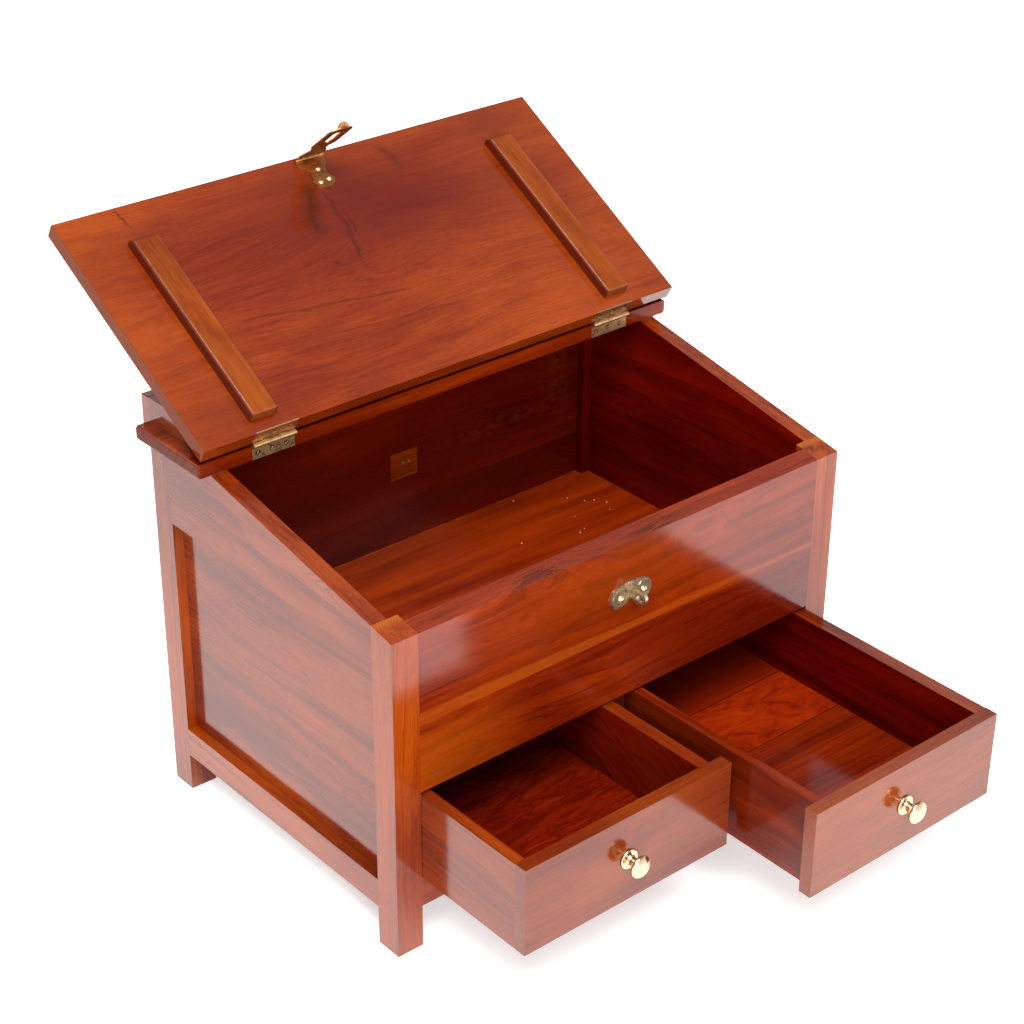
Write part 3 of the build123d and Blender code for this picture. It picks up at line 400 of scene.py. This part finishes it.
def batten_face(t, p, along, cu, cv, col, k):
    x, y, z = t.split(p)
    g = t.ramp(t.math("MULTIPLY_ADD", k["mot"], 0.5, t.math("MULTIPLY", k["fib"], 0.5)), [(0.0, 0.0), (0.36, 0.0), (0.62, 1.0), (1.0, 1.0)])
    fine = t.mix(g, (0.070, 0.0110, 0.0014), (0.190, 0.0460, 0.0044))
    col = t.mix(0.62, col, fine)
    # painted shade: both flanks of each batten are darkened
    for lo, hi in (batten_x["lid_batten_left"], batten_x["lid_batten_right"]):
        for e in (lo, hi):
            f = t.band(x, e - 0.0012, e + 0.0012, 0.0012)
            col = t.mix(t.math("MULTIPLY", f, 0.85), col, (0.052, 0.0034, 0.0008))
    return col


def post_top(t, p, along, cu, cv, col, k):
    x, y, z = t.split(p)
    # the top end face is paler, with slanting rings
    top = t.math("MULTIPLY_ADD", z, 900.0, -0.3215 * 900.0, clamp=True)
    diag = t.math("FRACT", t.math("MULTIPLY", t.math("ADD", x, t.math("MULTIPLY", y, -0.6)), 330.0))
    ends = t.mix(t.math("MULTIPLY", diag, 0.55), (0.250, 0.0660, 0.0050), (0.130, 0.0230, 0.0020))
    return t.mix(t.math("MULTIPLY", top, 0.85), col, ends)


def floor_inside(t, p, along, cu, cv, col, k):
    x, y, z = t.split(p)
    run = t.noise(t.join(t.math("MULTIPLY", x, 5.0), t.math("MULTIPLY", cv, 60.0), t.math("MULTIPLY", cu, 60.0)), 1.0, 3.0, 0.55)
    run = t.ramp(t.math("MULTIPLY_ADD", k["fib"], 0.25, t.math("MULTIPLY", run, 0.8)), [(0.0, 0.0), (0.38, 0.0), (0.68, 1.0), (1.0, 1.0)])
    col = t.mix(0.62, t.mix(0.40, col, (0.170, 0.0170, 0.0009)), t.mix(run, (0.090, 0.0042, 0.0005), (0.275, 0.0320, 0.0014)))
    shade = t.math("MULTIPLY_ADD", x, 1.9, 0.36, clamp=True)
    col = t.mix(t.math("MULTIPLY", shade, 0.70), col, (0.62, 0.34, 0.40), "MULTIPLY")
    # dust specks near the back right, a few elsewhere
    vor = t.nt.nodes.new("ShaderNodeTexVoronoi")
    vor.inputs["Scale"].default_value = 110.0
    vor.inputs["Randomness"].default_value = 1.0
    t.link(p, vor.inputs["Vector"])
    wn = t.nt.nodes.new("ShaderNodeTexWhiteNoise")
    wn.noise_dimensions = "3D"
    t.link(vor.outputs["Position"], wn.inputs["Vector"])
    dens = t.math("MULTIPLY_ADD", spot(t, p, (0.185, YF + 0.245, 0.172), (0.055, 0.065, 0.05), 2.0), 0.34, 0.016)
    on = t.math("LESS_THAN", wn.outputs["Value"], dens)
    dot = t.math("LESS_THAN", vor.outputs["Distance"], 0.10)
    col = t.mix(t.math("MULTIPLY", t.math("MULTIPLY", on, dot), 0.75), col, (0.50, 0.38, 0.27))
    # dried lacquer along the foot of the back wall
    edge = t.band(y, YF + 0.3270, YF + 0.33, 0.0012)
    edge = t.math("MULTIPLY", edge, t.ramp(t.noise(p, 60.0, 3.0, 0.6), [(0.0, 0.0), (0.5, 0.0), (0.62, 1.0), (1.0, 1.0)]))
    return t.mix(t.math("MULTIPLY", edge, 0.40), col, (0.26, 0.08, 0.015))


def side_rail_face(t, p, along, cu, cv, col, k):
    x, y, z = t.split(p)
    # nested dark V near the sloping edge
    yy = t.math("SUBTRACT", y, YF + 0.070)
    vee = t.math("ADD", t.math("MULTIPLY", t.math("ABSOLUTE", t.math("MULTIPLY_ADD", z, 1.0, -0.330)), 2.4), yy)
    vee = t.math("MULTIPLY_ADD", k["w3"], 0.012, vee)
    fr = t.math("FRACT", t.math("MULTIPLY", vee, 60.0))
    ln = t.ramp(fr, [(0.0, 1.0), (0.10, 0.5), (0.25, 0.0), (0.85, 0.0), (1.0, 1.0)])
    f = t.math("MULTIPLY", ln, spot(t, p, (-0.26, YF + 0.085, 0.333), (0.1, 0.045, 0.016), 2.0))
    f = t.math("MULTIPLY", f, t.math("MULTIPLY_ADD", x, -2000.0, -0.2594 * 2000.0, clamp=True))
    return t.mix(t.math("MULTIPLY", f, 0.70), col, (0.030, 0.0030, 0.0012))


def bottom_right(t, p, along, cu, cv, col, k):
    x, y, z = t.split(p)
    # three boards: plain dark at the back, bright burl in the middle, plain in front
    mid_ = t.band(y, YF - 0.062, YF + 0.014, 0.0012)
    b1 = t.noise(t.vmath("MULTIPLY", p, (26.0, 48.0, 1.0)), 1.0, 5.0, 0.7, 1.3)
    burl = t.ramp(b1, [(0.0, DARK), (0.34, (0.080, 0.0050, 0.0008)), (0.43, (0.140, 0.0075, 0.0008)), (0.58, (0.205, 0.0140, 0.0010)), (0.75, (0.245, 0.0260, 0.0014)), (1.0, (0.265, 0.0340, 0.0020))])
    rear = t.math("MULTIPLY_ADD", y, 2000.0, -(YF + 0.014) * 2000.0, clamp=True)
    col = t.mix(t.math("MULTIPLY", rear, 0.60), col, (0.140, 0.0064, 0.0006))
    col = t.mix(t.math("MULTIPLY", mid_, 0.80), col, burl)
    seam = t.math("ADD", t.band(y, YF + 0.0134, YF + 0.0146, 0.0005), t.band(y, YF - 0.0626, YF - 0.0614, 0.0005), clamp=True)
    return t.mix(t.math("MULTIPLY", seam, 0.8), col, (0.012, 0.0010, 0.0006))


def bottom_left(t, p, along, cu, cv, col, k):
    x, y, z = t.split(p)
    # figured board with fiery loops, and a plainer one at the front
    b1 = t.noise(t.vmath("MULTIPLY", p, (9.0, 34.0, 1.0)), 1.0, 3.0, 0.6, 1.6)
    fire = t.ramp(b1, [(0.0, DARK), (0.40, (0.050, 0.0012, 0.0004)), (0.49, (0.120, 0.0046, 0.0006)), (0.54, (0.055, 0.0015, 0.0005)), (0.64, (0.150, 0.0090, 0.0008)), (0.70, (0.070, 0.0022, 0.0005)), (1.0, (0.200, 0.0180, 0.0012))])
    m_ = t.band(y, YF - 0.075, YF + 0.4, 0.0012)
    col = t.mix(t.math("MULTIPLY", m_, 0.75), col, fire)
    seam = t.band(y, YF - 0.0756, YF - 0.0744, 0.0005)
    return t.mix(t.math("MULTIPLY", seam, 0.8), col, (0.012, 0.0010, 0.0006))


def feather(t, p, along, cu, cv, col, k):
    x, y, z = t.split(p)
    q = t.math("ADD", t.math("MULTIPLY", y, 0.9), t.math("MULTIPLY_ADD", z, -1.6, t.math("MULTIPLY", k["w1"], 0.05)))
    n = t.noise(t.join(t.math("MULTIPLY", q, 120.0), t.math("MULTIPLY", z, 14.0), 2.0), 1.0, 3.0, 0.6)
    f = t.ramp(n, [(0.0, 0.15), (0.36, 0.25), (0.64, 0.9), (1.0, 1.0)], "EASE")
    inside = t.math("MULTIPLY_ADD", x, -2000.0, -0.0267 * 2000.0, clamp=True)
    f = t.math("MULTIPLY", t.math("MULTIPLY", f, inside), t.band(y, YF - 0.125, YF + 0.04, 0.06))
    return t.mix(t.math("MULTIPLY", f, 0.62), col, (0.185, 0.0170, 0.0010))


def wall_face(t, p, along, cu, cv, col, k):
    x, y, z = t.split(p)
    # only the face inside the compartment
    inner = t.math("MULTIPLY_ADD", y, -2000.0, (YF + 0.3296) * 2000.0, clamp=True)
    # painted shade: the inside face darkens towards the top of the back wall
    rise = t.math("MULTIPLY_ADD", z, 14.0, -0.300 * 14.0, clamp=True)
    col = t.mix(t.math("MULTIPLY", t.math("MULTIPLY", rise, 0.75), inner), col, (0.34, 0.20, 0.30), "MULTIPLY")
    scuff = t.math("ADD", spot(t, p, (0.205, YF + 0.329, 0.290), (0.016, 0.02, 0.050), 2.0),
                   t.math("MULTIPLY", spot(t, p, (0.130, YF + 0.329, 0.262), (0.075, 0.02, 0.010), 2.0), 0.8))
    rub = t.ramp(t.noise(t.vmath("MULTIPLY", p, (90.0, 1.0, 160.0)), 1.0, 4.0, 0.65), [(0.0, 0.0), (0.44, 0.0), (0.60, 0.9), (1.0, 1.0)])
    f = t.math("MULTIPLY", t.math("MULTIPLY", scuff, rub), inner)
    return t.mix(t.math("MULTIPLY", f, 0.34), col, (0.160, 0.0340, 0.0070))


def patch_face(t, p, along, cu, cv, col, k):
    return t.mix(0.13, col, (0.170, 0.0220, 0.0024))


# ---------------------------------------------------------------------------
# Materials, one per board so that no two boards match
# ---------------------------------------------------------------------------
def give(node, mat):
    o = nodes[node]
    o.data.materials.clear()
    o.data.materials.append(mat)


# painted shade: the faces inside the open compartment are multiplied darker by this
ROOM_SHADE = (0.56, 0.10, 0.25)
e_ = 0.0003
ROOM = (((-0.243 - e_, YF + 0.019 - e_, 0.1725), (0.243 + e_, YF + 0.329 + e_, 0.40), ROOM_SHADE, 0.22),)
ROOM_LOW = (((-0.243 - e_, YF + 0.019 - e_, 0.1725), (0.243 + e_, YF + 0.329 + e_, 0.3170), ROOM_SHADE, 0.22),)
# painted shade: the inner faces of each drawer are multiplied darker
DRAWER_SHADE = {"left": (((-0.2214 - e_, -0.2326 - e_, 0.0873), (-0.0270 + e_, 0.0654 + e_, 0.1578), (0.66, 0.14, 0.35), 0.35),),
       "right": (((0.0210 - e_, -0.3304 - e_, 0.0873), (0.2184 + e_, -0.0324 + e_, 0.1578), (0.46, 0.06, 0.25), 0.3),)}
RED = (0.126, 0.0118, 0.0009)        # a redder middle tone
# painted shade: a darker copy of the middle tone for the back wall and the drawer backs
SHADED_MID = (0.066, 0.0013, 0.0003)
# painted shade on the top board in the gap under the lid's lower edge and along its front strip, with less lacquer
# there
LID_GAP_SHADE = (((-0.28, YF + 0.2478, 0.3818), (0.28, YF + 0.2640, 0.3835), (0.35, 0.25, 0.3), 0.0),
        ((-0.2715, YF + 0.2400, 0.3600), (0.2710, YF + 0.2490, 0.3822), (0.72, 0.46, 0.5), 0.5))
# painted shade on the lid's foot beside the hinge gap, with no lacquer there
LID_FOOT = (((-0.28, YF + 0.2470, 0.3840), (0.28, YF + 0.2640, 0.3935), (0.5, 0.4, 0.4), 0.0),)

give("post_front_left", wood("w_post_fl", Z, (0.06, 0.10), 1.0, tone=0.80, streak=0.40, shade_boxes=ROOM_LOW, extra=post_top))
give("post_front_right", wood("w_post_fr", Z, (0.05, 0.09), 2.0, tone=0.60, shade_boxes=ROOM_LOW, extra=post_top))
give("post_back_left", wood("w_post_bl", Z, (-0.06, 0.12), 3.0, tone=0.5, shade_boxes=ROOM))
give("post_back_right", wood("w_post_br", Z, (0.07, -0.08), 4.0, tone=0.4, shade_boxes=ROOM))
for i, n in enumerate(("side_top_rail_left", "side_top_rail_right", "side_panel_left", "side_panel_right",
                       "side_bottom_rail_left", "side_bottom_rail_right")):
    give(n, wood("w_" + n, Y, (0.30 if "left" in n else -0.3, -0.2 - 0.03 * i), 10.0 + i, ring=0.008,
                 tone=0.40 if "panel" in n else 0.5, mid=RED if "panel" in n else MID,
                 shade_boxes=ROOM,
                 extra=side_rail_face if n == "side_top_rail_left" else None))
give("front_board_upper", wood("w_front_upper", X, (-0.06, -0.38), 21.0, ring=0.0075, wander=0.010, tone=0.58, streak=0.6, mid=(0.118, 0.0078, 0.0005), light=(0.185, 0.0195, 0.0010),
                               eyes=(((-0.097, YF, 0.322), (0.050, 0.03, 0.020), 0.016, 0.6),
                                     ((-0.121, YF, 0.289), (0.016, 0.02, 0.007), 0.007, 0.5),
                                     ((0.085, YF, 0.300), (0.045, 0.03, 0.016), 0.012, 0.0)), shade_boxes=ROOM, extra=upper_front))
give("front_board_lower", wood("w_front_lower", X, (-0.03, -0.26), 22.0, ring=0.0065, wander=0.012, tone=0.52, streak=0.70, mid=(0.112, 0.0074, 0.0005), light=(0.180, 0.0190, 0.0010),
                               eyes=(((-0.165, YF, 0.196), (0.040, 0.03, 0.013), 0.012, 0.0),
                                     ((0.155, YF, 0.192), (0.050, 0.03, 0.014), 0.014, 0.2)), shade_boxes=ROOM, extra=lower_front))
give("front_bottom_rail", wood("w_front_rail", X, (0.2, 0.0), 23.0, tone=0.4))
for i, n in enumerate(("back_board_upper", "back_board_lower", "back_bottom_rail", "compartment_floor",
                       "drawer_runner_left", "drawer_runner_right", "drawer_runner_centre", "drawer_divider", "back_wall_patch")):
    # painted shade: the back boards get the darker, shaded tones
    inner = n.startswith("back_board")
    give(n, wood("w_" + n, X if n not in ("drawer_divider", "drawer_runner_left", "drawer_runner_right", "drawer_runner_centre") else Y,
                 (0.1, 0.05 * i - 0.3), 30.0 + i, tone=0.12 if inner else 0.5, streak=0.6,
                 mid=SHADED_MID if inner else MID, light=(0.125, 0.0070, 0.0006) if inner else LIGHT,
                 extra={"compartment_floor": floor_inside, "back_wall_patch": patch_face,
                        "back_board_upper": wall_face, "back_board_lower": wall_face}.get(n)))
give("top_board", wood("w_top", X, (0.4, -0.1), 41.0, tone=0.35, shade_boxes=LID_GAP_SHADE, ends=(-0.274, 0.2734)))
give("gallery_back", wood("w_gal_back", X, (0.4, 0.1), 42.0, tone=0.5))
give("gallery_side_left", wood("w_gal_l", Y, (0.4, 0.1), 43.0, tone=0.5))
give("gallery_side_right", wood("w_gal_r", Y, (0.4, 0.1), 44.0, tone=0.5))
give("lid_board", wood("w_lid", X, (0.1, -0.60), 51.0, ring=0.012, wander=0.007, tone=0.42, streak=0.22, mottle=0.62, fig=0.50, grainy=0.9, mid=(0.136, 0.0140, 0.0010), light=(0.196, 0.0310, 0.0020),
                       eyes=((lid_point(-0.041, 0.141), (0.010, 0.006, 0.006), 0.004, 0.9),
                             (lid_point(0.035, 0.150), (0.10, 0.03, 0.03), 0.016, 0.0)), shade_boxes=LID_FOOT, ends=(-0.2715, 0.275), extra=lid_face))
give("lid_batten_left", wood("w_batten_l", UL, (0.3, 0.1), 52.0, tone=0.50, streak=0.30, mottle=0.20, fig=0.6, gloss=0.24, coat=0.55, extra=batten_face))
give("lid_batten_right", wood("w_batten_r", UL, (-0.1, 0.1), 53.0, tone=0.45, streak=0.30, mottle=0.20, fig=0.6, gloss=0.24, coat=0.55, extra=batten_face))
for side, k_ in (("left", 60.0), ("right", 70.0)):
    give("drawer_%s_front" % side, wood("w_d%s_front" % side, X, (0.3, -0.15), k_ + 1, tone=0.42, ring=0.006, fig=0.45, mid=(0.112, 0.0130, 0.0012), light=(0.172, 0.0310, 0.0026), mottle=0.18, streak=0.14, wander=0.003, shade_boxes=DRAWER_SHADE[side]))
    give("drawer_%s_side_left" % side, wood("w_d%s_sl" % side, Y, (0.3, -0.15), k_ + 2, tone=0.5 if side == "left" else 0.3, mid=RED,
                                            light=LIGHT if side == "left" else (0.190, 0.0180, 0.0010),
                                            coat=1.0 if side == "left" else 0.55, shade_boxes=DRAWER_SHADE[side]))
    give("drawer_%s_side_right" % side, wood("w_d%s_sr" % side, Y, (0.2, -0.15), k_ + 3, tone=0.5, mid=RED, shade_boxes=DRAWER_SHADE[side],
                                             extra=feather if side == "left" else None))
    give("drawer_%s_back" % side, wood("w_d%s_back" % side, X, (0.3, -0.12), k_ + 4, tone=0.3, mid=SHADED_MID, shade_boxes=DRAWER_SHADE[side]))
    give("drawer_%s_bottom" % side, wood("w_d%s_bottom" % side, X, (0.0, -0.15), k_ + 5, tone=0.35, mid=(0.100, 0.0062, 0.0006), light=(0.185, 0.0165, 0.0010),
                                         extra=bottom_right if side == "right" else bottom_left))

b_knob = brass("brass_bright", srgb(222, 196, 160), srgb(182, 142, 98), 0.10, 0.0, 0.35)
b_aged = brass("brass_aged", srgb(222, 188, 142), srgb(150, 104, 62), 0.26, 3.0, 0.7)
b_hasp = brass("brass_hasp", srgb(206, 140, 84), srgb(118, 66, 34), 0.24, 9.0, 0.75)
b_strap = brass("brass_strap", srgb(176, 124, 76), srgb(104, 64, 34), 0.26, 15.0, 0.7)
b_staple = brass("brass_staple", srgb(214, 200, 172), srgb(120, 96, 62), 0.22, 12.0, 0.8, 0.40)
b_screw = brass("brass_screw", srgb(238, 214, 172), srgb(150, 112, 70), 0.16, 5.0, 0.4)
b_nail = brass("steel_nail", srgb(225, 215, 205), srgb(140, 120, 105), 0.22, 7.0, 0.4)
for n in nodes:
    if n.endswith("_knob"):
        give(n, b_knob)
    elif n in ("hinge_case_screws", "hinge_lid_screws", "hasp_screws", "staple_screws"):
        give(n, b_screw)
    elif n == "hasp_strap":
        give(n, b_strap)
    elif n.startswith("hasp_"):
        give(n, b_hasp)
    elif n == "staple":
        give(n, b_staple)
    elif n.startswith("hinge_"):
        give(n, b_aged)
    elif n == "patch_nails":
        give(n, b_nail)

# ---------------------------------------------------------------------------
# Eased edges on the boards and metal
# ---------------------------------------------------------------------------
for n, o in nodes.items():
    wide = 0.0009
    if n.endswith("_knob"):
        for poly in o.data.polygons:
            poly.use_smooth = True
        continue
    if n.startswith("hinge_") or n.startswith("hasp_") or n == "staple":
        wide = 0.00025
    if n.startswith("lid_batten"):
        wide = 0.0022
    if n.endswith("screws") or n.endswith("nails") or n.startswith("hinge_pin"):
        continue
    b = o.modifiers.new("eased", "BEVEL")
    b.width = wide
    b.segments = 2
    b.limit_method = "ANGLE"
    b.angle_limit = math.radians(40)
    b.harden_normals = False
    for poly in o.data.polygons:
        poly.use_smooth = False

# ---------------------------------------------------------------------------
# Floor and light
# ---------------------------------------------------------------------------
mesh = bpy.data.meshes.new("floor")
s = 6.0
mesh.from_pydata([(-s, -s, 0), (s, -s, 0), (s, s, 0), (-s, s, 0)], [], [(0, 1, 2, 3)])
floor = bpy.data.objects.new("floor", mesh)
scene.collection.objects.link(floor)
floor.location.z = -0.0005
ft = Tree("floor")
ft.bsdf.inputs["Base Color"].default_value = (0.84, 0.84, 0.84, 1)
ft.bsdf.inputs["Emission Color"].default_value = (1.0, 1.0, 1.0, 1)
ft.bsdf.inputs["Emission Strength"].default_value = 0.40
ft.bsdf.inputs["Roughness"].default_value = 0.9
ft.bsdf.inputs["Specular IOR Level"].default_value = 0.1
mesh.materials.append(ft.mat)

world = bpy.data.worlds.new("studio")
scene.world = world
world.use_nodes = True
wt = world.node_tree
bg = wt.nodes["Background"]
tc = wt.nodes.new("ShaderNodeTexCoord")
sp = wt.nodes.new("ShaderNodeSeparateXYZ")
wt.links.new(tc.outputs["Generated"], sp.inputs[0])
wr = wt.nodes.new("ShaderNodeValToRGB")
wr.color_ramp.interpolation = "EASE"
els = wr.color_ramp.elements
els[0].position, els[0].color = 0.0, (1, 1, 1, 1)
els[1].position, els[1].color = 0.70, (0.24, 0.24, 0.24, 1)
els.new(0.25).color = (0.85, 0.85, 0.85, 1)
wt.links.new(sp.outputs[2], wr.inputs[0])
wt.links.new(wr.outputs[0], bg.inputs[0])
bg.inputs[1].default_value = 1.5


def area(name, loc, target, size, power, size_y=None):
    d = bpy.data.lights.new(name, "AREA")
    d.energy = power
    d.size = size
    if size_y:
        d.shape = "RECTANGLE"
        d.size_y = size_y
    o = bpy.data.objects.new(name, d)
    scene.collection.objects.link(o)
    o.location = loc
    d.color = (1.0, 0.985, 0.955)
    o.rotation_mode = "QUATERNION"
    o.rotation_quaternion = (Vector(target) - Vector(loc)).to_track_quat("-Z", "Y")
    return o


area("key", (-1.75, -2.3, 6.0), (0, 0, 0.2), 4.2, 900)
area("fill", (-1.5, -3.6, 0.9), (0, 0, 0.25), 1.8, 125)
